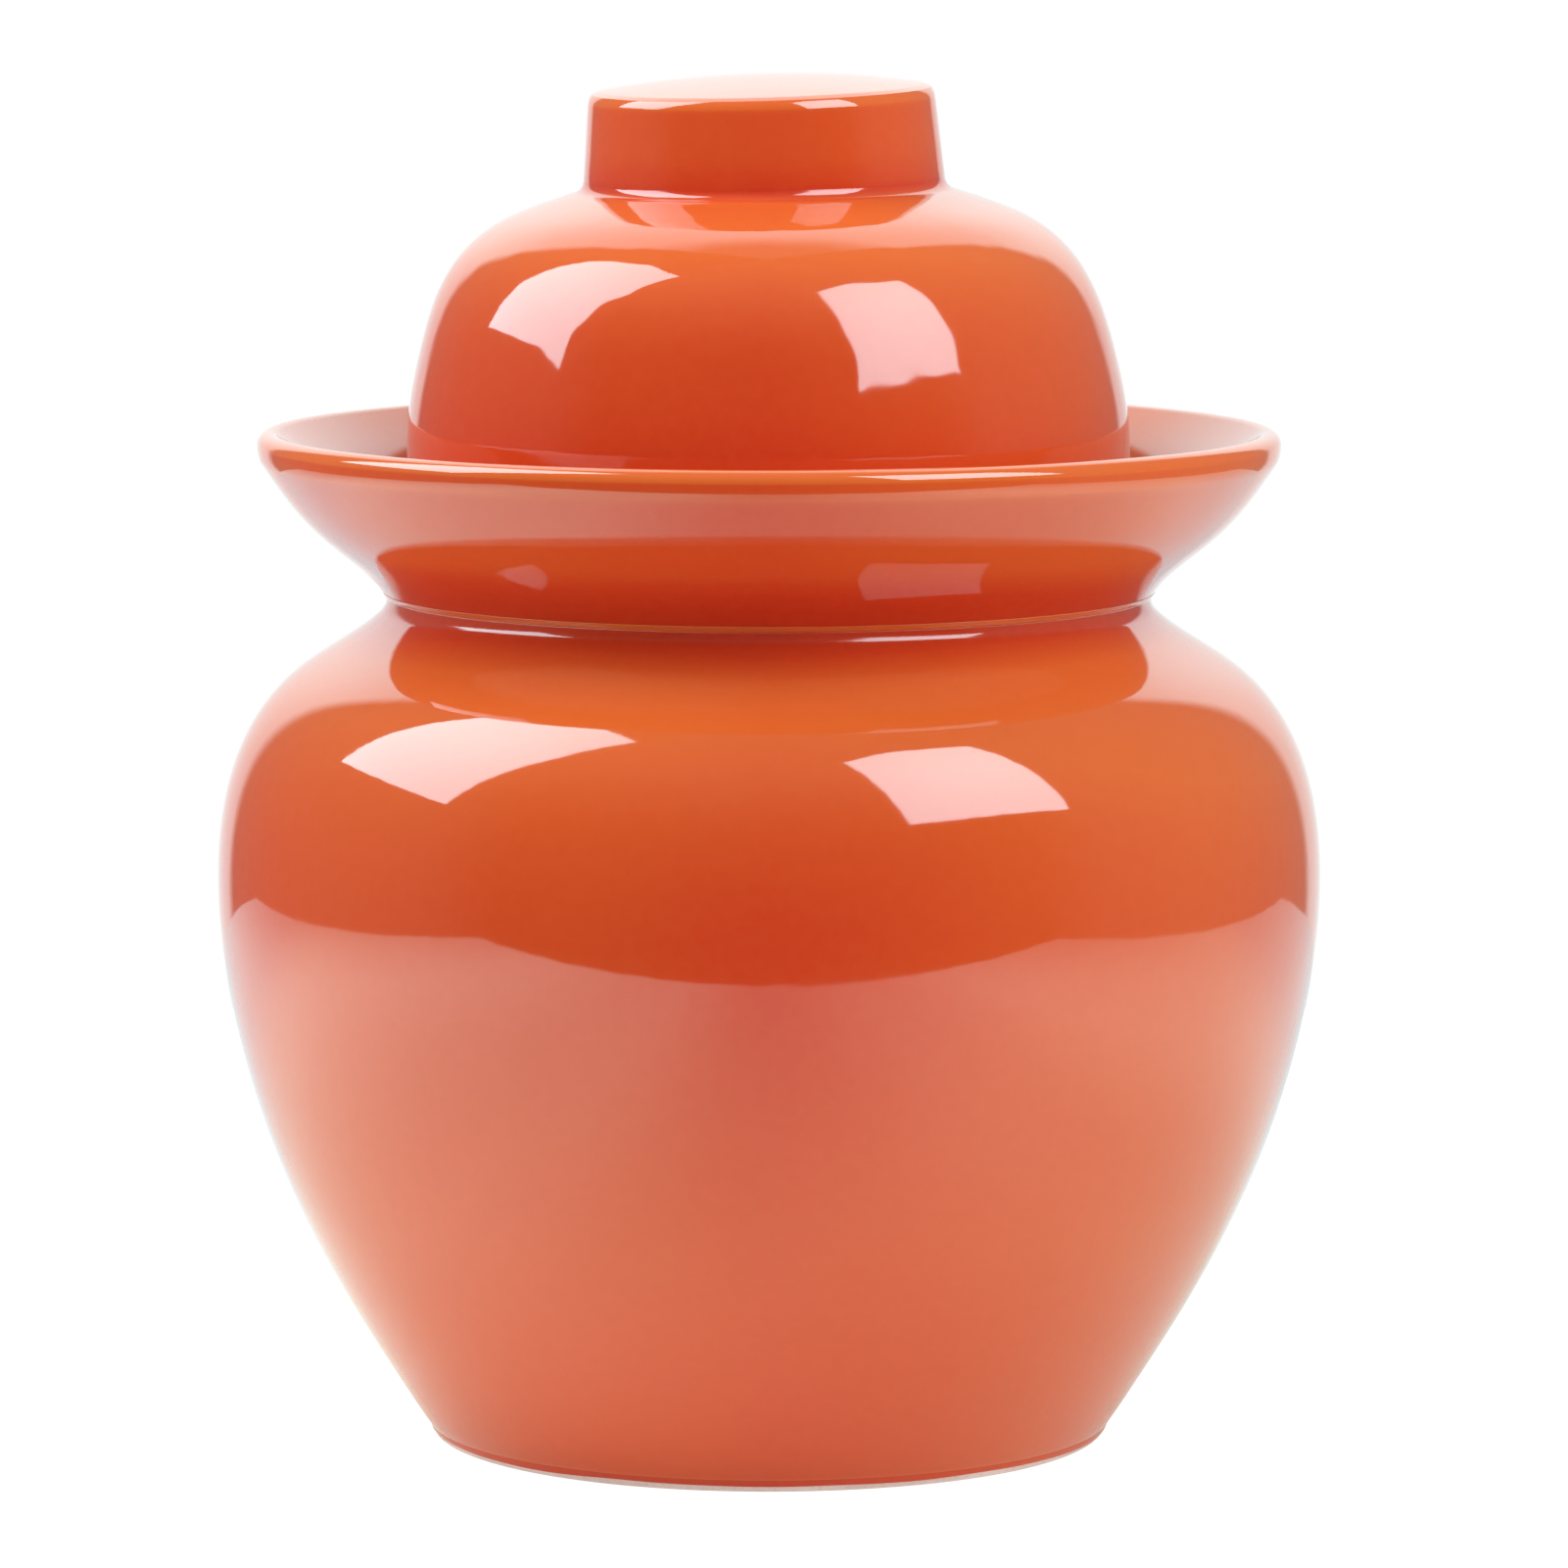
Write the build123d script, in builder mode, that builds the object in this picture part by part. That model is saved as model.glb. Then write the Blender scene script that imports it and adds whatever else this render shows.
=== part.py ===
from build123d import *
import os
from math import cos, radians, sin

# Water seal pickle jar: a round-bellied pot, a dish of water round its mouth, and a lid that stands in the water.
# Millimetres, +Z up. The origin is the centre of the foot, on the surface that the jar stands on.
# Every outline is drawn upwards in the XZ plane, so that the inside of the wall lies on its left.

# Mouth: the upright collar inside the dish
mouth_radius = 55.0
collar_wall = 5.0
collar_lip_radius = 2.9
collar_lip_wrap = 15.0
collar_lip_blend = 2.0
collar_root_radius = 2.0
collar_stand = 3.0

# Water seal: the spaces on each side of the lid's skirt
seal_gap = 4.8
trough_margin = 4.1
trough_flat_margin = 1.4
trough_floor = 8.4

# Dish: the flared wall that holds the water
dish_reach = 24.9
dish_rise = 32.1
dish_lip_radius = 2.6
dish_lip_wrap = 130.0
dish_lean = 62.0

# Pot
belly_radius = 106.9
belly_rise = 106.4
shoulder_rise = 54.6
pot_wall = 6.0
base_thickness = 8.0
base_radius = 66.2
foot_lean = 36.0

# Foot ring: the bare clay ring under the pot
foot_height = 2.6
foot_step = 0.3
foot_width = 10.0
foot_edge_radius = 2.4
foot_inner_radius = 1.0
base_hollow = 1.2
base_hollow_margin = 1.0
base_hollow_slope = 5.0

# Lid
lid_wall = 5.0
lid_rise = 72.3
rim_height = 3.0
rim_edge_radius = 1.4
crease_radius = 2.5
crown_pitch = 17.0

# Knob: the closed cap on top of the lid
knob_radius = 33.7
knob_root_radius = 35.0
knob_wall = 4.7
knob_rise = 19.9
knob_dome_rise = 2.7
knob_edge_radius = 3.0
knob_inner_edge_radius = 3.5

# Outlines, as shares of the width and height of the stretch that each one follows
lower_belly_shares = ((0.115, 0.065), (0.403, 0.241), (0.729, 0.499), (0.927, 0.756))
shoulder_shares = ((0.933, 0.347), (0.797, 0.550), (0.560, 0.725), (0.240, 0.856), (0.052, 0.939))
dish_shares = ((0.088, 0.104), (0.427, 0.344), (0.775, 0.647), (0.942, 0.848))
dish_inside_shares = ((0.248, 0.173), (0.402, 0.402), (0.590, 0.646))
crown_shares = ((0.924, 0.550), (0.821, 0.711), (0.657, 0.839), (0.378, 0.936), (0.236, 0.963))
skirt_share = 0.30
base_flat_share = 0.62

# Places along an outside at which the inside of its wall is set, as shares of its length
pot_wall_shares = (0.16, 0.27, 0.39, 0.51, 0.63, 0.73, 0.82, 0.89, 0.95)
crown_wall_shares = (0.2, 0.4, 0.6, 0.8, 1.0)

# Radii that follow from the mouth outwards
collar_radius = mouth_radius + collar_wall
lid_inner_radius = collar_radius + seal_gap
lid_radius = lid_inner_radius + lid_wall
neck_radius = lid_radius + trough_margin
dish_radius = neck_radius + dish_reach

# Heights that follow from the foot upwards
belly_height = foot_height + belly_rise
neck_height = belly_height + shoulder_rise
trough_height = neck_height + trough_floor
dish_height = neck_height + dish_rise
collar_height = dish_height + collar_stand
rim_top = trough_height + rim_height
knob_base = trough_height + lid_rise
knob_top = knob_base + knob_rise


def between(start, end, share):
    """Give the point at a share of the width and a share of the height from start to end."""
    return (start[0] + share[0] * (end[0] - start[0]), start[1] + share[1] * (end[1] - start[1]))


def inside_of(outside, wall, shares):
    """Give points on the inside of a wall, square to its outside at the given shares of its length."""
    points = []
    for share in shares:
        along = outside.tangent_at(share)
        points.append(outside.position_at(share) + Vector(-along.Y, along.X) * wall)
    return points


def pot_outline():
    """Give the points of the pot's outside, from the base over the belly and shoulder to the neck."""
    base = (base_radius, foot_height)
    belly = (belly_radius, belly_height)
    belly_foot = (neck_radius, belly_height)
    shoulder = (belly_radius, neck_height)
    neck = (neck_radius, neck_height)
    lower = [between(base, belly, share) for share in lower_belly_shares]
    upper = [between(belly_foot, shoulder, share) for share in shoulder_shares]
    return [base, *lower, belly, *upper, neck]


# Foot ring: flat underneath, with rounded edges, and set in a little from the glazed wall above it
foot_radius = base_radius - foot_step
foot_hole_radius = foot_radius - foot_width
with BuildPart() as foot_ring:
    with BuildSketch(Plane.XZ) as foot_section:
        with Locations((foot_hole_radius, 0)):
            Rectangle(foot_width, foot_height, align=(Align.MIN, Align.MIN))
        foot_corners = foot_section.vertices().group_by(Axis.Y)[0].sort_by(Axis.X)
        fillet(foot_corners[-1], foot_edge_radius)
        foot_corners = foot_section.vertices().group_by(Axis.Y)[0].sort_by(Axis.X)
        fillet(foot_corners[0], foot_inner_radius)
    revolve(axis=Axis.Z)

# Pot body: an even wall that follows the outside, with a thicker base that is a little hollow underneath
hollow_radius = foot_hole_radius - base_hollow_margin
hollow_flat_radius = hollow_radius - base_hollow_slope
hollow_height = foot_height + base_hollow
floor_height = foot_height + base_thickness
with BuildPart() as jar_body:
    with BuildSketch(Plane.XZ):
        with BuildLine():
            lean = Vector(sin(radians(foot_lean)), cos(radians(foot_lean)))
            outside = Spline(*pot_outline(), tangents=(lean, (0, 1)))
            inside = inside_of(outside, pot_wall, pot_wall_shares)
            floor_edge = (base_radius * base_flat_share, floor_height)
            inner_neck = (neck_radius - pot_wall, neck_height)
            uphill = outside % pot_wall_shares[-1]
            Spline(floor_edge, *inside, tangents=((1, 0), uphill))
            Spline(inside[-1], inner_neck, tangents=(uphill, (0, 1)))
            Line(outside @ 1, inner_neck)
            Line(floor_edge, (0, floor_height))
            Line((0, floor_height), (0, hollow_height))
            Line((0, hollow_height), (hollow_flat_radius, hollow_height))
            Spline((hollow_flat_radius, hollow_height), (hollow_radius, foot_height), tangents=((1, 0), (1, 0)))
            Line((hollow_radius, foot_height), outside @ 0)
        make_face()
    revolve(axis=Axis.Z)

# Water dish: its floor lies on the neck, and its flared wall thickens inwards under a round lip
with BuildPart() as water_dish:
    with BuildSketch(Plane.XZ):
        with BuildLine():
            seam = (neck_radius, neck_height)
            lip_outside = (dish_radius, dish_height - dish_lip_radius)
            lip_centre = (dish_radius - dish_lip_radius, dish_height - dish_lip_radius)
            flare = [between(seam, lip_outside, share) for share in dish_shares]
            lean = Vector(cos(radians(dish_lean)), sin(radians(dish_lean)))
            outside = Spline(seam, *flare, lip_outside, tangents=(lean, (0, 1)))
            lip = CenterArc(lip_centre, dish_lip_radius, 0, dish_lip_wrap)
            trough_edge = (lid_radius + trough_flat_margin, trough_height)
            lip_end = tuple(lip @ 1)
            inside = [between(trough_edge, lip_end, share) for share in dish_inside_shares]
            Spline(trough_edge, *inside, lip_end, tangents=((1, 0), -(lip % 1)))
            Line(trough_edge, (mouth_radius, trough_height))
            Line((mouth_radius, trough_height), (mouth_radius, neck_height))
            Line((mouth_radius, neck_height), seam)
        make_face()
    revolve(axis=Axis.Z)

# Mouth collar: an upright wall on the floor of the dish, with a rolled lip that stands above the water
with BuildPart() as mouth_collar:
    with BuildSketch(Plane.XZ):
        with BuildLine():
            lip_height = collar_height - collar_lip_radius
            lip_centre = (mouth_radius + collar_lip_radius, lip_height)
            lip = CenterArc(lip_centre, collar_lip_radius, 180, -180 - collar_lip_wrap)
            wall_top = (collar_radius, lip_height - collar_lip_radius - collar_lip_blend)
            root_top = (collar_radius, trough_height + collar_root_radius)
            root_foot = (collar_radius + collar_root_radius, trough_height)
            Spline(lip @ 1, wall_top, tangents=(lip % 1, (0, -1)))
            Line(wall_top, root_top)
            TangentArc(root_top, root_foot, tangent=(0, -1))
            Line(root_foot, (mouth_radius, trough_height))
            Line((mouth_radius, trough_height), lip @ 0)
        make_face()
    revolve(axis=Axis.Z)

# Lid rim: the bare clay edge that stands on the floor of the dish
with BuildPart() as lid_rim:
    with BuildSketch(Plane.XZ) as rim_section:
        with Locations((lid_inner_radius, trough_height)):
            Rectangle(lid_wall, rim_height, align=(Align.MIN, Align.MIN))
        fillet(rim_section.vertices().group_by(Axis.Y)[0], rim_edge_radius)
    revolve(axis=Axis.Z)

# Lid cover: an upright skirt under a rounded crown, open at the top into the hollow knob
pitch_cos = cos(radians(crown_pitch))
pitch_sin = sin(radians(crown_pitch))
crown_start = (lid_radius, trough_height)
crown_end = (knob_root_radius + crease_radius * (1 - pitch_sin), knob_base - crease_radius * pitch_cos)
crown_foot = (crown_end[0], trough_height)
crown_corner = (lid_radius, crown_end[1])
knob_inner_radius = knob_root_radius - knob_wall
with BuildPart() as lid_cover:
    with BuildSketch(Plane.XZ):
        with BuildLine():
            skirt_top = between(crown_start, crown_corner, (0, skirt_share))
            crown = [between(crown_foot, crown_corner, share) for share in crown_shares]
            uphill = Vector(-pitch_cos, pitch_sin)
            outside = Spline(skirt_top, *crown, crown_end, tangents=((0, 1), uphill))
            crease = TangentArc(crown_end, (knob_root_radius, knob_base), tangent=uphill)
            inside = inside_of(outside, lid_wall, crown_wall_shares)
            inner_skirt_top = (lid_inner_radius, skirt_top[1])
            Line((lid_radius, rim_top), skirt_top)
            Line((lid_inner_radius, rim_top), inner_skirt_top)
            Spline(inner_skirt_top, *inside, tangents=((0, 1), uphill))
            Spline(inside[-1], (knob_inner_radius, knob_base), tangents=(uphill, (0, 1)))
            Line((knob_inner_radius, knob_base), crease @ 1)
            Line((lid_inner_radius, rim_top), (lid_radius, rim_top))
        make_face()
    revolve(axis=Axis.Z)

# Knob: a hollow cap with slightly leaning sides and a low domed top
with BuildPart() as lid_knob:
    with BuildSketch(Plane.XZ) as knob_section:
        with BuildLine():
            knob_shoulder = (knob_radius, knob_top - knob_dome_rise)
            Line((knob_root_radius, knob_base), knob_shoulder)
            TangentArc((0, knob_top), knob_shoulder, tangent=(1, 0))
            Line((0, knob_top), (0, knob_base))
            Line((0, knob_base), (knob_root_radius, knob_base))
        make_face()
        fillet(knob_section.vertices().sort_by_distance(knob_shoulder)[0], knob_edge_radius)
        with BuildLine():
            hollow_shoulder = (knob_radius - knob_wall, knob_top - knob_dome_rise - knob_wall)
            Line((knob_inner_radius, knob_base), hollow_shoulder)
            TangentArc((0, knob_top - knob_wall), hollow_shoulder, tangent=(1, 0))
            Line((0, knob_top - knob_wall), (0, knob_base))
            Line((0, knob_base), (knob_inner_radius, knob_base))
        make_face(mode=Mode.SUBTRACT)
        fillet(knob_section.vertices().sort_by_distance(hollow_shoulder)[0], knob_inner_edge_radius)
    revolve(axis=Axis.Z)

pieces = {
    "foot_ring": foot_ring,
    "jar_body": jar_body,
    "water_dish": water_dish,
    "mouth_collar": mouth_collar,
    "lid_rim": lid_rim,
    "lid_cover": lid_cover,
    "lid_knob": lid_knob,
}
os.makedirs("parts", exist_ok=True)
for name, piece in pieces.items():
    piece.part.label = name
    export_step(piece.part, f"parts/{name}.step")
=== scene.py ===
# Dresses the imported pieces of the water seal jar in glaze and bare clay, and sets them in a small studio.
# Metres, +Z up, in the CAD model's frame. Each piece is turned from the outline of the node it stands for.
from math import atan2, ceil, cos, pi, radians, sin, tan

import bmesh
import bpy
from bpy.props import FloatProperty, FloatVectorProperty, IntProperty, PointerProperty
from mathutils import Matrix, Vector, noise


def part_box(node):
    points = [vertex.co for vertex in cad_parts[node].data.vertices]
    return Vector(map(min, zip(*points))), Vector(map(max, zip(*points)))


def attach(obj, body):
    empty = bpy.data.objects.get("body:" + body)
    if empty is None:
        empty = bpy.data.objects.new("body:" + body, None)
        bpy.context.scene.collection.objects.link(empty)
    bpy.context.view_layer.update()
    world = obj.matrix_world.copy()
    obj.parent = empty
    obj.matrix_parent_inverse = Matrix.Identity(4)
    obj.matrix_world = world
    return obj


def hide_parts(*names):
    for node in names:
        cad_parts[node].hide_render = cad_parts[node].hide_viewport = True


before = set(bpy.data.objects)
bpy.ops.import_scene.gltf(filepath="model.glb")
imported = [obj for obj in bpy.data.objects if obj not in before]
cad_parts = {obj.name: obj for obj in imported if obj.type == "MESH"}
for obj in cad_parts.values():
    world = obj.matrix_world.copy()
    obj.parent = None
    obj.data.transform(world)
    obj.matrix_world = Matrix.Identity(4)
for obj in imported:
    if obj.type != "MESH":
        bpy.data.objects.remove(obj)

bl_info = {
    "name": "Water Seal Jar",
    "version": (1, 0, 0),
    "blender": (4, 5, 0),
    "location": "3D View > Sidebar > Jar",
    "description": "Glazes the pieces of a water seal jar and sets them in a studio",
    "category": "Object",
}

NEAR = 1e-5  # radii or heights of an outline that differ by less than this are the same
WHITE = (1.0, 1.0, 1.0, 1.0)
FOOT_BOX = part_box("foot_ring")
DISH_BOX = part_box("water_dish")
KNOB_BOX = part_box("lid_knob")
RIM_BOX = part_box("lid_rim")
SEAM_HEIGHT = DISH_BOX[0].z
NECK_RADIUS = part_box("mouth_collar")[1].x


class JarShapeSettings(bpy.types.PropertyGroup):
    """Sizes of the turned pieces that the CAD model leaves to the finish."""

    rings_around: IntProperty(
        name="Sides", description="Points round each turned piece", default=224, min=24
    )
    outline_step: FloatProperty(
        name="Outline Step", description="Distance between the rings of a piece", default=0.0018,
        min=0.0004, unit="LENGTH",
    )
    edge_softness: FloatProperty(
        name="Edge Softness", description="How far back a sharp edge is rounded by the glaze", default=0.0007,
        min=0.0001, unit="LENGTH",
    )
    pot_wave_depth: FloatProperty(
        name="Pot Wave Depth", description="Depth of the shallow waves in the thrown wall", default=0.00016,
        min=0.0, unit="LENGTH",
    )
    pot_wave_length: FloatProperty(
        name="Pot Wave Length", description="Length of the waves in the wall of the pot", default=0.045,
        min=0.001, unit="LENGTH",
    )
    lid_wave_depth: FloatProperty(
        name="Lid Wave Depth", description="Depth of the waves in the crown of the lid", default=0.00011,
        min=0.0, unit="LENGTH",
    )
    lid_wave_length: FloatProperty(
        name="Lid Wave Length", description="Length of the waves in the crown of the lid", default=0.018,
        min=0.001, unit="LENGTH",
    )
    seam_height: FloatProperty(
        name="Seam Height", description="Height of the narrow band of glaze over the seam", default=0.0012,
        min=0.0001, unit="LENGTH",
    )
    seam_depth: FloatProperty(
        name="Seam Depth", description="How far the middle of the band over the seam stands out",
        default=0.0005, min=0.0001, unit="LENGTH",
    )
    foot_glaze: FloatProperty(
        name="Foot Glaze", description="How thick the glaze is that has run down over the bare foot",
        default=0.00018, min=0.00005, unit="LENGTH",
    )
    rim_drop: FloatProperty(
        name="Knob Rim Slope", description="Slope of the top of the knob just inside its rim",
        default=radians(23), unit="ROTATION",
    )
    rim_softness: FloatProperty(
        name="Rim Softness", description="How far back the knob's rim is rounded by the glaze",
        default=0.0015, min=0.0001, unit="LENGTH",
    )
    rim_turn: FloatProperty(
        name="Knob Rim Turn", description="How far the side of the knob is rounded over below its rim",
        default=radians(38), unit="ROTATION",
    )
    knob_lean: FloatProperty(
        name="Knob Lean", description="How far the top of the knob leans to the left", default=0.0011,
        unit="LENGTH",
    )
    knob_tilt: FloatProperty(
        name="Knob Tilt", description="How far the top of the knob is tilted to the left by firing",
        default=radians(1.6), unit="ROTATION",
    )
    knob_pinch: FloatProperty(
        name="Knob Pinch", description="Share by which the knob's right side is drawn in towards the top",
        default=0.0145, min=0.0, max=0.1,
    )
    knob_nod: FloatProperty(
        name="Knob Nod", description="How far the top of the knob is tilted to the front by firing",
        default=radians(1.7), unit="ROTATION",
    )


class JarFinishSettings(bpy.types.PropertyGroup):
    """Colours of the glaze and of the bare clay."""

    glaze_thick: FloatVectorProperty(
        name="Thick Glaze", description="Colour where the glaze lies thick, on upright walls",
        subtype="COLOR", size=4, default=(0.615, 0.055, 0.015, 1.0), min=0.0, max=1.0,
    )
    # On slopes and to the sides this lighter colour partly stands for painted light
    glaze_thin: FloatVectorProperty(
        name="Thin Glaze", description="Colour where the glaze has run thin, on slopes and edges",
        subtype="COLOR", size=4, default=(0.69, 0.132, 0.026, 1.0), min=0.0, max=1.0,
    )
    # Round the neck this deep red partly stands for painted shade under the dish
    glaze_pool: FloatVectorProperty(
        name="Pooled Glaze", description="Colour where the glaze gathers in grooves", subtype="COLOR",
        size=4, default=(0.55, 0.030, 0.010, 1.0), min=0.0, max=1.0,
    )
    clay_light: FloatVectorProperty(
        name="Light Clay", description="Colour of the bare fired clay", subtype="COLOR",
        size=4, default=(0.86, 0.75, 0.69, 1.0), min=0.0, max=1.0,
    )
    clay_dark: FloatVectorProperty(
        name="Dark Clay", description="Colour of the grains and stains in the bare clay", subtype="COLOR",
        size=4, default=(0.66, 0.48, 0.39, 1.0), min=0.0, max=1.0,
    )


class JarStudioSettings(bpy.types.PropertyGroup):
    """The camera, the lamps, the room and the floor of the studio."""

    camera_place: FloatVectorProperty(
        name="Camera", description="Where the camera stands", subtype="XYZ", unit="LENGTH",
        default=(0.00289, -1.6965, 0.3258),
    )
    camera_dip: FloatProperty(
        name="Camera Dip", description="How far the camera looks down", default=radians(6.69), unit="ROTATION"
    )
    focal_length: FloatProperty(
        name="Focal Length", description="Focal length on a sensor 36 mm wide, in millimetres", default=202.4,
        min=10.0,
    )
    lamp_brightness: FloatProperty(
        name="Lamp Brightness", description="Brightness of the two soft lamps, where white paper is 1",
        default=4.5, min=0.0,
    )
    left_share: FloatProperty(
        name="Left Share", description="The left lamp's share of the lamp brightness", default=0.92
    )
    right_share: FloatProperty(
        name="Right Share", description="The right lamp's share of the lamp brightness", default=1.08
    )
    gleam_brightness: FloatProperty(
        name="Gleam Brightness", description="Brightness of the lamps as the glaze reflects them",
        default=9.5, min=0.0,
    )
    gleam_tint: FloatVectorProperty(
        name="Gleam Tint", description="Cool tint of the lamps as the glaze reflects them",
        subtype="COLOR", size=4, default=(0.64, 0.92, 1.0, 1.0), min=0.0, max=1.0,
    )
    room_tint: FloatVectorProperty(
        name="Room Tint", description="Tint of the room as the glaze reflects it", subtype="COLOR",
        size=4, default=(0.84, 0.97, 0.98, 1.0), min=0.0, max=1.0,
    )
    upper_tint: FloatVectorProperty(
        name="Upper Room Tint", description="Tint of the upper room as the glaze reflects it",
        subtype="COLOR", size=4, default=(0.67, 0.98, 1.0, 1.0), min=0.0, max=1.0,
    )
    floor_tint: FloatVectorProperty(
        name="Floor Tint", description="Tint of the near floor as the glaze reflects it", subtype="COLOR",
        size=4, default=(0.72, 0.97, 0.91, 1.0), min=0.0, max=1.0,
    )
    far_tint: FloatVectorProperty(
        name="Far Floor Tint", description="Tint of the floor behind the jar as the glaze reflects it",
        subtype="COLOR", size=4, default=(0.66, 0.95, 1.0, 1.0), min=0.0, max=1.0,
    )
    room_brightness: FloatProperty(
        name="Room Brightness", description="Even light from the walls", default=0.45, min=0.0
    )
    sky_brightness: FloatProperty(
        name="Ceiling Brightness", description="Even light from above", default=0.55, min=0.0
    )
    floor_tone: FloatProperty(name="Floor Tone", description="How pale the floor is", default=0.86, max=1.0)
    floor_glow: FloatProperty(
        name="Floor Glow", description="Light that the floor adds from below", default=0.26, min=0.0
    )
    gloss_gain: FloatProperty(
        name="Floor Gleam", description="How much brighter the glaze reflects the floor",
        default=1.15, min=0.0,
    )
    gloss_glow: FloatProperty(
        name="Floor Gleam Glow", description="Glow of the floor as the glaze reflects it",
        default=0.1, min=0.0,
    )
    floor_lift: FloatProperty(
        name="Floor Lift", description="White that the floor adds for the camera", default=0.82, min=0.0
    )
    floor_side: FloatProperty(
        name="Floor Half Width", description="How far the floor goes to each side",
        default=0.76, unit="LENGTH",
    )
    floor_front: FloatProperty(
        name="Floor Front", description="How far the floor comes forward", default=0.475, unit="LENGTH"
    )
    floor_back: FloatProperty(
        name="Floor Back", description="How far the floor goes back", default=0.58, unit="LENGTH"
    )


def section_of(node):
    """Give a turned node's outline as a list of (radius, height), and whether it is closed.

    The outline lies in the XZ half-plane. It goes up the outside and down the inside, and an open one starts
    and ends on the axis.
    """
    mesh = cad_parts[node].data
    off_plane = 1e-6
    places = {}
    for vertex in mesh.vertices:
        if abs(vertex.co.y) < off_plane and vertex.co.x > -off_plane:
            places[vertex.index] = (round(vertex.co.x, 6), round(vertex.co.z, 6))
    links = {}
    for edge in mesh.edges:
        first, second = (places.get(index) for index in edge.vertices)
        if first and second and first != second:
            links.setdefault(first, set()).add(second)
            links.setdefault(second, set()).add(first)
    ends = sorted((place for place in links if len(links[place]) == 1), key=lambda place: place[1])
    start = ends[0] if ends else min(links, key=lambda place: (place[1], place[0]))
    outline = [start]
    while True:
        onward = sorted(place for place in links[outline[-1]] if place not in outline[-2:])
        if not onward or onward[0] == start or len(outline) > len(links):
            break
        outline.append(onward[0])
    area = sum(a[0] * b[1] - b[0] * a[1] for a, b in zip(outline, outline[1:] + outline[:1]))
    if area < 0:
        outline.reverse()
    if not ends:
        return outline, True
    return on_axis(outline[:1]) + outline + on_axis(outline[-1:]), False


def on_axis(places):
    """Give the point of the axis beside a place, unless the place is on the axis already."""
    return [(0.0, height) for radius, height in places if radius > NEAR]


def edges_of(outline, closed):
    """Give the steps of an outline as pairs of places."""
    return list(zip(outline, outline[1:] + outline[:1] if closed else outline[1:]))


def is_level(first, second):
    """Tell whether two places of an outline lie at one height."""
    return abs(first[1] - second[1]) < NEAR


def split_flats(outline, closed, others):
    """Add to the flat steps of an outline the places where a neighbour's flat step starts or ends."""
    split = [outline[0]]
    for first, second in edges_of(outline, closed):
        if is_level(first, second):
            low, high = sorted((first[0], second[0]))
            level = {place for place in others if is_level(place, first)}
            inner = {place for place in level if low + NEAR < place[0] < high - NEAR}
            split += sorted(inner, reverse=first[0] > second[0])
        split.append(second)
    return split[:-1] if closed else split


def runs_of(body_nodes):
    """Cut each node's outline into the runs between the faces on which the nodes of a body are joined."""
    sections = {node: section_of(node) for node in body_nodes}
    flat_ends = {}
    for node, (outline, closed) in sections.items():
        steps = edges_of(outline, closed)
        flat_ends[node] = {place for step in steps if is_level(*step) for place in step}
    steps_seen = {}
    for node, (outline, closed) in sections.items():
        others = set().union(*(flat_ends[other] for other in body_nodes if other != node))
        outline = split_flats(outline, closed, others)
        sections[node] = outline, closed
        for step in edges_of(outline, closed):
            steps_seen.setdefault(frozenset(step), []).append(node)
    runs = {}
    for node, (outline, closed) in sections.items():
        steps = edges_of(outline, closed)
        joined = [len(steps_seen[frozenset(step)]) > 1 for step in steps]
        if closed:
            shift = joined.index(True) + 1
            steps, joined = steps[shift:] + steps[:shift], joined[shift:] + joined[:shift]
        pieces = [[]]
        for step, hidden in zip(steps, joined):
            if hidden:
                pieces.append([])
            else:
                pieces[-1] = pieces[-1] + [step[1]] if pieces[-1] else list(step)
        runs[node] = [piece for piece in pieces if piece], closed
    return runs


def run_neighbours(runs):
    """Give, for each end of a run, the next place on the run of another node that goes on from there."""
    onward = {}
    for node, (pieces, _) in runs.items():
        for piece in pieces:
            onward.setdefault(piece[0], []).append((node, piece[1]))
            onward.setdefault(piece[-1], []).append((node, piece[-2]))
    return onward


def beyond(node, end, before, onward):
    """Give the point that follows a run's end: a neighbour's, its mirror past the axis, or straight on."""
    if end[0] < NEAR:
        return Vector((-before[0], before[1]))
    for other, place in onward[end]:
        if other != node:
            return Vector(place)
    return Vector(end) * 2 - Vector(before)


def soften(points, softness, corner_turn=radians(25)):
    """Hold each corner of a run with a point on either side, so that the curve rounds it by about that much.

    It gives the points, and the numbers of the first and the last of them between which the run goes.
    """
    held = [points[0]]
    marks = []
    for before, here, after in zip(points, points[1:], points[2:]):
        back, ahead = before - here, after - here
        corner = pi - back.angle(ahead) > corner_turn
        if corner:
            held.append(here + back.normalized() * min(softness, back.length / 3))
        marks.append(len(held))
        held.append(here)
        if corner:
            held.append(here + ahead.normalized() * min(softness, ahead.length / 3))
    held.append(points[-1])
    return held, marks[0], marks[-1]


def smooth(points, first, last, step, largest_turn=radians(2.5)):
    """Give (place, direction) at even steps of the smooth curve that points draw, between two of them.

    The steps are shorter where the curve turns.
    """
    same_point = 1e-9
    curve = []
    for index in range(first, last):
        a, b, c, d = points[index - 1 : index + 3]
        legs = b - a, c - b, d - c
        bend = 0.0
        if min(leg.length for leg in legs) > same_point:
            bend = (legs[0].angle(legs[1]) + legs[1].angle(legs[2])) / 2
        pieces = max(1, ceil(legs[1].length / step), ceil(bend / largest_turn))
        for part in range(pieces + (index == last - 1)):
            t = part / pieces
            weights = ((1 - t) ** 3, 3 * t**3 - 6 * t**2 + 4, -3 * t**3 + 3 * t**2 + 3 * t + 1, t**3)
            slopes = (-((1 - t) ** 2), 3 * t**2 - 4 * t, -3 * t**2 + 2 * t + 1, t**2)
            place = (a * weights[0] + b * weights[1] + c * weights[2] + d * weights[3]) / 6
            along = a * slopes[0] + b * slopes[1] + c * slopes[2] + d * slopes[3]
            curve.append((place, along.normalized()))
    return curve


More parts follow.
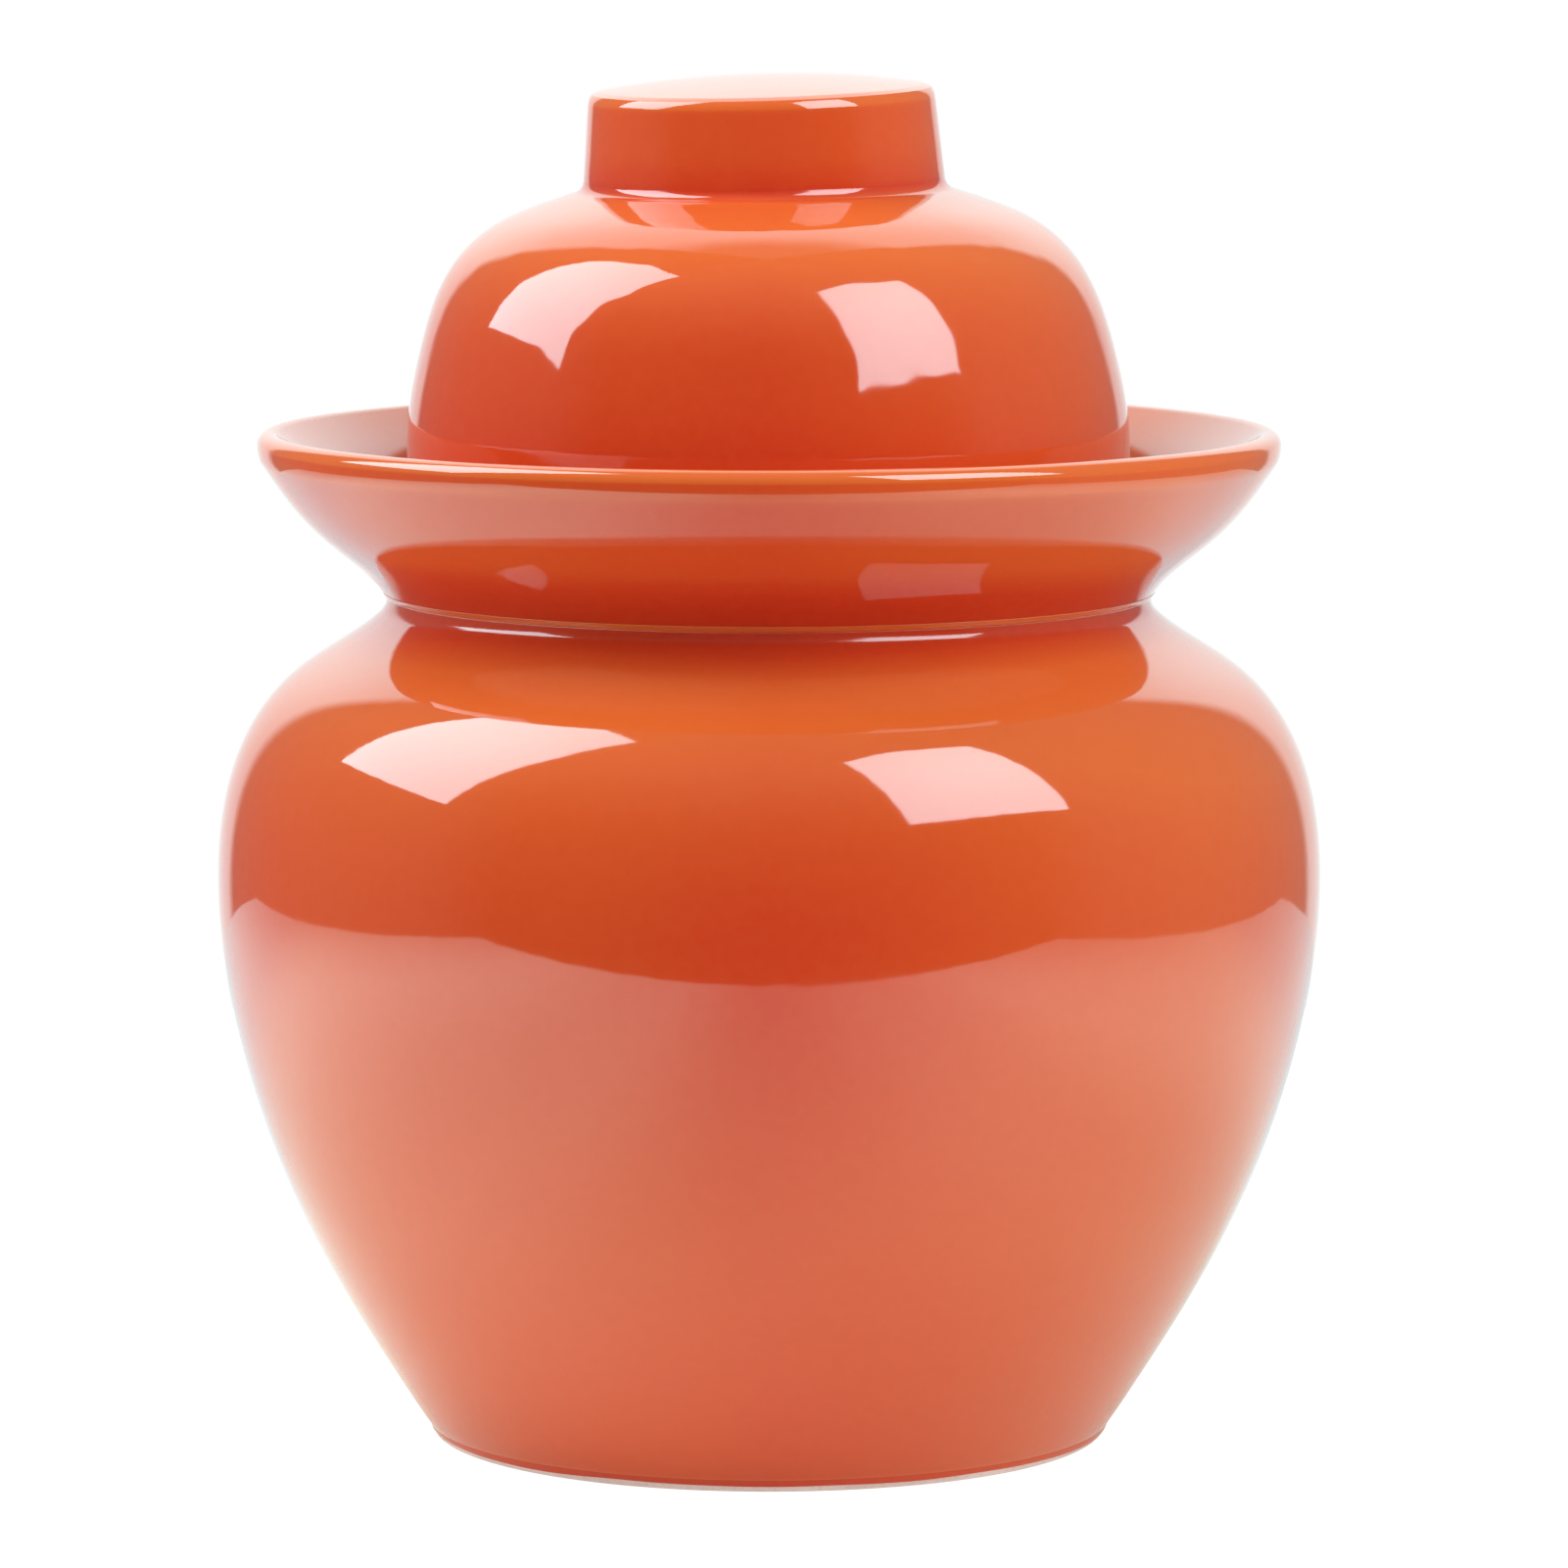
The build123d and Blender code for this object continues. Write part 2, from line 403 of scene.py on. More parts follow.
def part_of(value, full):
    """Give how far a value has come from 0 to its full size, from 0 to 1."""
    return min(1.0, max(0.0, value / full))


def glaze_run(curve):
    """Give how thick the glaze lies at each point of a run.

    It is 1 on upright walls, less on round edges and on the knob, where it runs off, and more in hollows,
    where it gathers. On slopes it is less, partly where the glaze runs off and partly as painted light: upper
    slopes lit from above and under-slopes lit by the floor come out lighter. Round the neck it is more,
    partly glaze pooled at the seam and partly painted shade under the dish. A bend is a turn in radians per
    metre.
    """
    top_thinning_and_light, top_slope, top_power = 0.85, 0.75, 1.3
    pot_under_thinning_and_light, upper_under_thinning_and_light, under_slope = 0.5, 0.15, 0.4
    edge_loss, edge_bend = 0.8, 420.0
    hollow_gain, hollow_bend = 0.5, 260.0
    knob_loss, knob_foot = 0.35, 0.006
    neck_pool_and_shade, neck_above, neck_below, neck_fade = 1.5, 0.0115, 0.009, 0.0075
    deepest, shortest = 2.0, 1e-6
    depths = []
    for index, (place, along) in enumerate(curve):
        low, high = max(0, index - 1), min(len(curve) - 1, index + 1)
        length = (curve[high][0] - curve[low][0]).length
        bend = -curve[low][1].angle_signed(curve[high][1]) / length if length > shortest else 0.0
        # Partly painted light: upper slopes lit from above and under-slopes lit by the floor get thinner,
        # lighter glaze
        under_thinning_and_light = pot_under_thinning_and_light if place.y < SEAM_HEIGHT else upper_under_thinning_and_light
        depth = 1.0 - top_thinning_and_light * part_of(-along.x, top_slope) ** top_power
        depth -= under_thinning_and_light * part_of(along.x, under_slope)
        depth -= edge_loss * part_of(bend, edge_bend)
        depth += hollow_gain * part_of(-bend, hollow_bend)
        depth -= knob_loss * part_of(place.y - KNOB_BOX[0].z, knob_foot)
        # Partly pooled glaze, partly painted shade: the glaze is made deeper red round the neck, under the
        # dish
        reach = neck_above if place.y > SEAM_HEIGHT else neck_below
        gathered_and_shaded = part_of(reach - abs(place.y - SEAM_HEIGHT), neck_fade) if place.x > NECK_RADIUS else 0.0
        depths.append(max(0.0, min(deepest, depth + (neck_pool_and_shade - depth) * gathered_and_shaded)))
    return depths


def lathe(name, curves, closed, sides, move, even_depth=None):
    """Turn the runs of an outline about the Z axis into one smooth mesh object.

    A flat face goes from each run to the next. Each point is moved to where the fired clay has it.
    """
    shape = bmesh.new()
    depth_and_shading_layer = shape.verts.layers.float.new("glaze_depth_and_shading")
    rings, breaks = [], []
    for curve in curves:
        depths = glaze_run(curve) if even_depth is None else [even_depth] * len(curve)
        for (place, along), depth in zip(curve, depths):
            ring = []
            for index in range(1 if place.x < NEAR else sides):
                angle = 2 * pi * index / sides
                round_way = Vector((cos(angle), sin(angle), 0))
                point = round_way * place.x + Vector((0, 0, place.y))
                vertex = shape.verts.new(move(point, round_way * along.y + Vector((0, 0, -along.x))))
                vertex[depth_and_shading_layer] = depth
                ring.append(vertex)
            rings.append(ring)
        breaks.append(len(rings) - 1)
    if closed:
        rings.append(rings[0])
    for number, (low, high) in enumerate(zip(rings, rings[1:])):
        for index in range(sides):
            onward = (index + 1) % sides
            below, above = ((ring[index % len(ring)], ring[onward % len(ring)]) for ring in (low, high))
            shape.faces.new(dict.fromkeys((*below, *reversed(above))))
        if number in breaks:
            for ring in (low, high):
                for index in range(sides):
                    shape.edges.get((ring[index], ring[(index + 1) % sides])).smooth = False
    bmesh.ops.recalc_face_normals(shape, faces=shape.faces)
    mesh = bpy.data.meshes.new(name)
    for face in shape.faces:
        face.smooth = True
    shape.to_mesh(mesh)
    shape.free()
    piece = bpy.data.objects.new(name, mesh)
    bpy.context.collection.objects.link(piece)
    return piece


def waves(place, length, seed):
    """Give a shallow wave between 0 and 1 at a place, like the uneven wall of a thrown pot."""
    return 0.5 + 0.5 * max(-1.0, min(1.0, noise.noise(place / length + Vector((seed, seed, seed)))))


def crisp_rim(places):
    """Give the knob's outline a side that rounds over slowly to a crisp rim, in place of its round edge."""
    shape = bpy.context.scene.jar_shape
    turns = [atan2(b[1] - a[1], a[0] - b[0]) for a, b in zip(places, places[1:])]
    level, upright = radians(14), radians(82)
    rim_share, gap_share = 0.62, 0.1
    edge = [index for index, turn in enumerate(turns) if level < turn < upright]
    wall, top = Vector(places[edge[0]]), Vector(places[edge[-1] + 1])
    run = (wall.x - top.x) * rim_share
    rim = top + Vector((run, -run * tan(shape.rim_drop)))
    radius = (wall.x - rim.x) / (1 - cos(shape.rim_turn))
    centre = rim - Vector((cos(shape.rim_turn), sin(shape.rim_turn))) * radius
    steps = [shape.rim_turn * share for share in (0.1, 0.3, 0.5, 0.7, 0.88)]
    rounded = [centre + Vector((cos(turn), sin(turn))) * radius for turn in steps]
    below = [place for place in places[: edge[0]] if place[1] < rounded[0].y - radius * gap_share]
    return [*below, *map(tuple, rounded), tuple(rim), *places[edge[-1] + 1 :]]


def make_pieces(body, nodes, wanted, move, detail=1.0):
    """Turn the smooth pieces that stand for some of a body's nodes, each with its finish and its place.

    A piece with fine waves has more detail, which multiplies the usual number of points each way.
    """
    shape = bpy.context.scene.jar_shape
    runs = runs_of(nodes)
    onward = run_neighbours(runs)
    for name, node, slot in wanted:
        pieces, closed = runs[node]
        curves = []
        for piece in pieces:
            if node == "lid_knob" and piece[0][0] > piece[-1][0]:
                piece = crisp_rim(piece)
            before = beyond(node, piece[0], piece[1], onward)
            after = beyond(node, piece[-1], piece[-2], onward)
            points = [before, *map(Vector, piece), after]
            softness = shape.rim_softness if node == "lid_knob" else shape.edge_softness
            held, first, last = soften(points, softness)
            curves.append(smooth(held, first, last, shape.outline_step / detail))
        turned = lathe(name, curves, closed, round(shape.rings_around * detail), move)
        turned.data.materials.append(FINISHES[slot]())
        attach(turned, body)
        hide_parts(node)


def pot_move(place, normal):
    """Move a point of the pot or dish inwards by the waves of the thrown wall."""
    shape = bpy.context.scene.jar_shape
    return place - normal * shape.pot_wave_depth * waves(place, shape.pot_wave_length, seed=3.7)


def lid_move(place, normal):
    """Move a point of the lid inwards by its waves, and lean it as firing left it, more towards the top."""
    shape = bpy.context.scene.jar_shape
    fine_depth_share, fine_length_share, settle = 0.5, 0.24, 0.00012
    fine = fine_depth_share * waves(place, shape.lid_wave_length * fine_length_share, seed=2.9)
    waved = place - normal * shape.lid_wave_depth * (waves(place, shape.lid_wave_length, seed=8.1) + fine)
    foot = RIM_BOX[1].z
    share = max(0.0, (waved.z - foot) / (KNOB_BOX[1].z - foot))
    lean = shape.knob_lean * share**1.5
    pinch = shape.knob_pinch * share**4
    slope = waved.x * tan(shape.knob_tilt) + waved.y * tan(shape.knob_nod)
    across = waved.x - (waved.x - KNOB_BOX[0].x) * pinch - lean
    return Vector((across, waved.y * (1 - pinch), waved.z + slope * share**3 - settle * share))


def node_of(tree, kind, inputs=None, **settings):
    """Add a shader node with its settings and its inputs by name or number."""
    node = tree.nodes.new(kind)
    for name, value in settings.items():
        setattr(node, name, value)
    for name, value in (inputs or {}).items():
        if isinstance(value, bpy.types.NodeSocket):
            tree.links.new(value, node.inputs[name])
        else:
            node.inputs[name].default_value = value
    return node


def bare_tree(owner):
    """Clear the nodes of a material or a world and give its tree."""
    owner.use_nodes = True
    owner.node_tree.nodes.clear()
    return owner.node_tree


def new_material(name):
    """Give a new node material and its tree, surface node and texture coordinates."""
    material = bpy.data.materials.new(name)
    tree = bare_tree(material)
    output = tree.nodes.new("ShaderNodeOutputMaterial")
    surface = tree.nodes.new("ShaderNodeBsdfPrincipled")
    tree.links.new(surface.outputs["BSDF"], output.inputs["Surface"])
    places = tree.nodes.new("ShaderNodeTexCoord").outputs["Object"]
    return material, tree, surface, places


def mixed(tree, share, first, second, blend="MIX"):
    """Mix two colours by a share and give the result's socket."""
    node = node_of(tree, "ShaderNodeMix", data_type="RGBA", blend_type=blend)
    for name, value in (("Factor", share), ("A", first), ("B", second)):
        sockets = [socket for socket in node.inputs if socket.name == name and socket.enabled]
        if isinstance(value, bpy.types.NodeSocket):
            tree.links.new(value, sockets[0])
        else:
            sockets[0].default_value = value
    return next(socket for socket in node.outputs if socket.enabled)


def ranged(tree, value, from_min, from_max, to_min, to_max, **settings):
    """Map a value's range to another and give the result's socket."""
    inputs = {"Value": value, "From Min": from_min, "From Max": from_max, "To Min": to_min, "To Max": to_max}
    return node_of(tree, "ShaderNodeMapRange", inputs, **settings).outputs["Result"]


def eased(tree, value, from_min, from_max, to_min, to_max):
    """Map a value's range to another with a soft start and end, and give the result's socket."""
    return ranged(tree, value, from_min, from_max, to_min, to_max, interpolation_type="SMOOTHSTEP")


def cloudy(tree, places, scale, detail):
    """Add a noise texture and give its socket, which drifts round 0.5."""
    inputs = {"Vector": places, "Scale": scale, "Detail": detail}
    return node_of(tree, "ShaderNodeTexNoise", inputs).outputs["Fac"]


def calc(tree, operation, *values):
    """Add a math node to a tree and give its result's socket."""
    return node_of(tree, "ShaderNodeMath", dict(enumerate(values)), operation=operation).outputs[0]


def glaze_material():
    """Make the glossy orange-red glaze: thin and orange on slopes and edges, deep red where it gathers.

    On slopes and to the sides the orange is partly painted light, and round the neck the red is partly
    painted shade.
    """
    found = bpy.data.materials.get("orange_glaze_finish")
    if found:
        return found
    colours = bpy.context.scene.jar_finish
    mottle_colour, speck_colour = (0.95, 0.30, 0.10, 1.0), (0.16, 0.02, 0.01, 1.0)
    material, tree, surface, places = new_material("orange_glaze_finish")
    # Glaze depth, which also carries painted light on slopes and painted shade round the neck
    depth = node_of(tree, "ShaderNodeAttribute", attribute_name="glaze_depth_and_shading").outputs["Fac"]
    drift = cloudy(tree, places, 9.0, 2.0)
    wander = ranged(tree, drift, 0.3, 0.7, -0.16, 0.16)
    level = calc(tree, "ADD", depth, wander)
    # Painted light and shade: the glaze is made thinner and lighter to the right and to both sides, where the
    # lamps fall, and gathers most in the middle, front and back, where the dish shades it
    across = node_of(tree, "ShaderNodeSeparateXYZ", {"Vector": places}).outputs["X"]
    level = calc(tree, "ADD", level, ranged(tree, across, 0.0, 0.10, 0.0, -0.35))
    aside = calc(tree, "ABSOLUTE", across)
    level = calc(tree, "ADD", level, ranged(tree, aside, 0.0, 0.10, 0.08, -0.32))
    thickness_and_light = ranged(tree, level, 0.0, 1.0, 0.0, 1.0)
    body = mixed(tree, thickness_and_light, tuple(colours.glaze_thin), tuple(colours.glaze_thick))
    gathered_and_shaded = ranged(tree, level, 1.0, 1.8, 0.0, 1.0)
    # Painted shade: the deep red is held to the middle, front and back, where the dish shades the neck
    gathered_and_shaded = calc(tree, "MULTIPLY", gathered_and_shaded, ranged(tree, aside, 0.02, 0.075, 1.0, 0.2))
    pooled_and_shaded = mixed(tree, gathered_and_shaded, body, tuple(colours.glaze_pool))
    # Fine, bright and very faint mottles, and small dark specks, one to a cell
    grain = cloudy(tree, places, 420.0, 2.0)
    mottled = mixed(tree, ranged(tree, grain, 0.35, 0.65, 0.0, 0.02), pooled_and_shaded, mottle_colour)
    cells = node_of(tree, "ShaderNodeTexVoronoi", {"Vector": places, "Scale": 34.0, "Randomness": 1.0})
    speck = ranged(tree, cells.outputs["Distance"], 0.006, 0.012, 0.55, 0.0)
    tree.links.new(mixed(tree, speck, mottled, speck_colour), surface.inputs["Base Color"])
    # Glossy, with a softer gloss where the glaze has gathered, and a very slight peel
    shine = cloudy(tree, places, 30.0, 3.0)
    blurred = ranged(tree, level, 1.15, 1.55, 0.0, 0.16)
    rough = calc(tree, "ADD", ranged(tree, shine, 0.3, 0.7, 0.035, 0.065), blurred)
    tree.links.new(rough, surface.inputs["Roughness"])
    surface.inputs["IOR"].default_value = 1.58
    peel = cloudy(tree, places, 260.0, 1.0)
    bump = node_of(tree, "ShaderNodeBump", {"Height": peel, "Strength": 0.05, "Distance": 0.0002})
    tree.links.new(bump.outputs["Normal"], surface.inputs["Normal"])
    return material


def clay_material():
    """Make the matt, fine-grained bare clay of the foot and of the lid's rim."""
    found = bpy.data.materials.get("bare_clay_finish")
    if found:
        return found
    colours = bpy.context.scene.jar_finish
    material, tree, surface, places = new_material("bare_clay_finish")
    stain = cloudy(tree, places, 40.0, 5.0)
    stained = ranged(tree, stain, 0.4, 0.75, 0.0, 0.5)
    tone = mixed(tree, stained, tuple(colours.clay_light), tuple(colours.clay_dark))
    grain = cloudy(tree, places, 1400.0, 2.0)
    grit = mixed(tree, ranged(tree, grain, 0.45, 0.75, 0.0, 0.45), tone, tuple(colours.clay_dark))
    tree.links.new(grit, surface.inputs["Base Color"])
    tree.links.new(ranged(tree, grain, 0.3, 0.7, 0.70, 0.95), surface.inputs["Roughness"])
    bump = node_of(tree, "ShaderNodeBump", {"Height": grain, "Strength": 0.5, "Distance": 0.0002})
    tree.links.new(bump.outputs["Normal"], surface.inputs["Normal"])
    return material


FINISHES = {"orange_glaze": glaze_material, "bare_clay": clay_material}
JAR_NODES = ("foot_ring", "jar_body", "water_dish", "mouth_collar")
LID_NODES = ("lid_rim", "lid_cover", "lid_knob")


class JAR_OT_make_pot(bpy.types.Operator):
    """Turn the pot and its bare foot"""

    bl_idname = "jar.make_pot"
    bl_label = "Make Pot"

    def execute(self, context):
        wanted = (("pot", "jar_body", "orange_glaze"), ("foot", "foot_ring", "bare_clay"))
        make_pieces("jar", JAR_NODES, wanted, pot_move)
        return {"FINISHED"}


class JAR_OT_make_dish(bpy.types.Operator):
    """Turn the dish of the water seal and the collar of the mouth"""

    bl_idname = "jar.make_dish"
    bl_label = "Make Dish"

    def execute(self, context):
        wanted = (("dish", "water_dish", "orange_glaze"), ("collar", "mouth_collar", "orange_glaze"))
        make_pieces("jar", JAR_NODES, wanted, pot_move)
        return {"FINISHED"}


def widest_at(node, level):
    """Give a turned node's largest radius at a height."""
    return max(radius for radius, height in section_of(node)[0] if abs(height - level) < NEAR)


def lay_band(name, loop, move, depth):
    """Lay a narrow band of glaze of one depth round the jar. Its section goes up on the outside."""
    shape = bpy.context.scene.jar_shape
    fine_step = shape.outline_step / 8
    curve = smooth([loop[-1], *loop, *loop[:2]], 1, len(loop) + 1, fine_step)[:-1]
    band = lathe(name, [curve], True, shape.rings_around, move, depth)
    band.data.materials.append(glaze_material())
    band.data.shade_smooth()
    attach(band, "jar")


def seam_outline(shape):
    """Give the section of the band of glaze over the seam, which follows the flare of the dish upwards."""
    seam_radius = widest_at("jar_body", SEAM_HEIGHT)
    shares = ((-1.0, 0.0), (0.3, 0.0), (0.75, 0.15), (1.1, 0.45), (1.5, 0.8), (1.85, 1.1), (-1.0, 1.1))
    outline = []
    for out, up in shares:
        outline.append(Vector((seam_radius + shape.seam_depth * out, SEAM_HEIGHT + shape.seam_height * up)))
    return outline


def foot_outline(shape):
    """Give the section of the glaze that has run down from the pot over the rounded corner of the foot."""
    corner, thick, top = 0.0024, shape.foot_glaze, FOOT_BOX[1].z
    wall = widest_at("jar_body", top)
    centre = Vector((FOOT_BOX[1].x - corner, corner))
    # Degrees below the middle of the corner, and shares of the glaze's thickness out from its surface
    turn_shares = ((25, 0.15), (23, 0.8), (15, 1.0), (6, 1.1), (0, -2.0), (12, -2.0), (22, -1.5))
    bent = []
    for turn, out in turn_shares:
        bent.append(centre + Vector((cos(radians(turn)), -sin(radians(turn)))) * (corner + thick * out))
    upper_shares = ((0, 1), (-1, 4), (-4, 0))
    upper = [Vector((wall + thick * out, top + thick * up)) for out, up in upper_shares]
    return bent[:4] + upper + bent[4:]


def foot_move(place, normal):
    """Move a point of the glaze on the foot with the pot, and let its lower edge end unevenly."""
    run_depth, run_length, even_height = 0.0014, 0.016, 0.85 * FOOT_BOX[1].z
    uneven = run_depth * max(0.0, 1.0 - place.z / even_height) * (waves(place, run_length, seed=5.3) - 0.5)
    return pot_move(place, normal) - Vector((0, 0, uneven))


class JAR_OT_make_bands(bpy.types.Operator):
    """Lay the narrow band of glaze over the seam, and the glaze that has run down onto the foot"""

    bl_idname = "jar.make_bands"
    bl_label = "Make Glaze Bands"

    def execute(self, context):
        shape = context.scene.jar_shape
        lay_band("seam_band", seam_outline(shape), pot_move, depth=0.25)
        lay_band("foot_glaze", foot_outline(shape), foot_move, depth=0.9)
        return {"FINISHED"}


class JAR_OT_make_lid(bpy.types.Operator):
    """Turn the cover, the knob and the bare rim of the lid"""

    bl_idname = "jar.make_lid"
    bl_label = "Make Lid"

    def execute(self, context):
        wanted = (
            ("cover", "lid_cover", "orange_glaze"),
            ("knob", "lid_knob", "orange_glaze"),
            ("rim", "lid_rim", "bare_clay"),
        )
        make_pieces("lid", LID_NODES, wanted, lid_move, detail=1.4)
        return {"FINISHED"}


def stage_tree(owner):
    """Clear an owner's nodes and give its tree and the sockets that tell camera, gloss and glass rays."""
    tree = bare_tree(owner)
    rays = tree.nodes.new("ShaderNodeLightPath").outputs
    return tree, rays["Is Camera Ray"], rays["Is Glossy Ray"], rays["Is Transmission Ray"]


def floor_material(studio):
    """Make the pale floor, which keeps the jar's shadow and is lifted to white for whoever looks at it."""
    material = bpy.data.materials.new("pale_floor")
    tree, camera, gloss, glass = stage_tree(material)
    place = node_of(tree, "ShaderNodeTexCoord").outputs["Object"]
    places = node_of(tree, "ShaderNodeSeparateXYZ", {"Vector": place}).outputs
    # In the gloss of the glaze the floor carries painted pools of lamp light to the left and right of the
    # jar, and less so behind it
    across = places["X"]
    near_left = eased(tree, across, -0.14, -0.01, 0.75, 0.0)
    near_right = eased(tree, across, 0.02, 0.14, 0.0, 0.4)
    near = calc(tree, "ADD", near_left, near_right)
    far_left = eased(tree, across, -0.42, -0.14, 0.75, 0.0)
    far_right = eased(tree, across, 0.14, 0.32, 0.0, 0.6)
    far = calc(tree, "ADD", far_left, far_right)
    share_behind = eased(tree, places["Y"], 0.06, 0.30, 1.0, 0.6)
    painted_lamp_pools = calc(tree, "MULTIPLY", calc(tree, "ADD", near, far), share_behind)
    brighter = calc(tree, "MULTIPLY_ADD", painted_lamp_pools, gloss, 1.0)
    gloss_tone = studio.floor_tone * studio.gloss_gain
    tone = calc(tree, "MULTIPLY", ranged(tree, gloss, 0.0, 1.0, studio.floor_tone, gloss_tone), brighter)
    behind = eased(tree, places["Y"], 0.05, 0.3, 0.0, 1.0)
    tint = mixed(tree, behind, tuple(studio.floor_tint), tuple(studio.far_tint))
    tint = mixed(tree, gloss, WHITE, tint)
    paper = node_of(tree, "ShaderNodeBsdfDiffuse", {"Color": mixed(tree, 1.0, tint, tone, "MULTIPLY")})
    lift = ranged(tree, calc(tree, "MAXIMUM", camera, glass), 0.0, 1.0, studio.floor_glow, studio.floor_lift)
    shown = ranged(tree, gloss, 0.0, 1.0, lift, studio.gloss_glow)
    glow = node_of(tree, "ShaderNodeEmission", {"Color": WHITE, "Strength": shown})
    both = node_of(tree, "ShaderNodeAddShader", {0: paper.outputs[0], 1: glow.outputs[0]})
    node_of(tree, "ShaderNodeOutputMaterial", {"Surface": both.outputs[0]})
    return material


def studio_air(studio):
    """Light the room evenly from all round, white to the camera and through glass.

    In the gloss of the glaze the room is dark in front, grey at the sides and above, and bright behind.
    """
    world = bpy.data.worlds.new("studio_air")
    tree, camera, gloss, glass = stage_tree(world)
    way = node_of(tree, "ShaderNodeTexCoord").outputs["Generated"]
    parts = node_of(tree, "ShaderNodeSeparateXYZ", {"Vector": way}).outputs
    bearing = calc(tree, "ARCTAN2", parts["X"], calc(tree, "MULTIPLY", parts["Y"], -1.0))
    height = calc(tree, "ARCSINE", parts["Z"])
    aside = calc(tree, "ABSOLUTE", bearing)
    # Each side of the room changes in brightness with the height at which it is seen, or from left to right
    ahead = eased(tree, height, radians(22), radians(62), 0.02, 0.28)
    beside = eased(tree, bearing, radians(-60), radians(60), 0.25, 0.30)
    beside = calc(tree, "ADD", beside, eased(tree, height, radians(45), radians(80), 0.0, -0.1))
    behind = eased(tree, height, radians(0), radians(32), 1.2, 2.25)
    behind = calc(tree, "ADD", behind, eased(tree, height, radians(60), radians(76), 0.0, -1.7))
    # The sides begin at about 66 degrees from the front, and the back at about 150, sooner high up
    to_side = eased(tree, aside, radians(52), radians(80), 0.0, 1.0)
    spread = calc(tree, "MULTIPLY_ADD", height, 0.2, aside)
    to_back = eased(tree, spread, radians(147), radians(153), 0.0, 1.0)
    room = mixed(tree, to_back, mixed(tree, to_side, ahead, beside), behind)
    raised = eased(tree, height, radians(4), radians(30), 0.0, 1.0)
    tint = mixed(tree, raised, tuple(studio.room_tint), tuple(studio.upper_tint))
    room = mixed(tree, 1.0, room, tint, "MULTIPLY")
    even = eased(tree, height, radians(-30), radians(90), studio.room_brightness, studio.sky_brightness)
    seen = mixed(tree, gloss, even, room)
    shown = mixed(tree, calc(tree, "MAXIMUM", camera, glass), seen, WHITE)
    air = node_of(tree, "ShaderNodeBackground", {"Color": shown, "Strength": 1.0})
    node_of(tree, "ShaderNodeOutputWorld", {"Surface": air.outputs[0]})
    return world


def aimed(place, facing, dip):
    """Give the matrix of something that stands at a place and faces one way and down along its own -Z."""
    aim = Vector((-sin(facing) * cos(dip), cos(facing) * cos(dip), -sin(dip)))
    return Matrix.Translation(place) @ aim.to_track_quat("-Z", "Y").to_matrix().to_4x4()


def soft_lamp(name, matrix, width, height, brightness):
    """Hang a soft lamp that isn't seen itself, neither straight nor in the gloss of the glaze."""
    lamp = bpy.data.lights.new(name, "AREA")
    lamp.shape = "RECTANGLE"
    lamp.size = width
    lamp.size_y = height
    lamp.energy = brightness * pi * width * height
    holder = bpy.data.objects.new(name, lamp)
    holder.matrix_world = matrix
    bpy.context.collection.objects.link(holder)
    holder.visible_camera = False
    holder.visible_glossy = False


def gleam_panel(name, matrix, corners, brightness):
    """Hang the lit cloth of a soft lamp, seen only in the gloss of the glaze and brightest in its middle."""
    studio = bpy.context.scene.jar_studio
    mesh = bpy.data.meshes.new(name)
    mesh.from_pydata([(*corner, 0.0) for corner in corners], [], [tuple(range(len(corners)))])
    material = bpy.data.materials.new(name)
    tree = bare_tree(material)
    place = node_of(tree, "ShaderNodeTexCoord").outputs["Object"]
    away = node_of(tree, "ShaderNodeVectorMath", {0: place}, operation="LENGTH").outputs["Value"]
    corner_distance, middle_share, corner_share = 0.40, 1.06, 0.9
    shown = eased(tree, away, 0.0, corner_distance, brightness * middle_share, brightness * corner_share)
    glow = node_of(tree, "ShaderNodeEmission", {"Color": tuple(studio.gleam_tint), "Strength": shown})
    node_of(tree, "ShaderNodeOutputMaterial", {"Surface": glow.outputs[0]})
    mesh.materials.append(material)
    panel = bpy.data.objects.new(name, mesh)
    panel.matrix_world = matrix
    bpy.context.collection.objects.link(panel)
    panel.visible_camera = False
    panel.visible_diffuse = False
    panel.visible_transmission = False
    panel.visible_shadow = False


# Corners of the lamps' lit cloths, across and up from their middles
LEFT_CLOTH = (
    (-0.206, -0.312), (0.195, -0.266), (0.170, 0.120), (0.110, 0.365), (-0.080, 0.262), (-0.215, 0.100),
)
RIGHT_CLOTH = (
    (-0.216, -0.242), (0.198, -0.262), (0.170, 0.060), (0.148, 0.215), (-0.060, 0.262), (-0.203, 0.235),
)


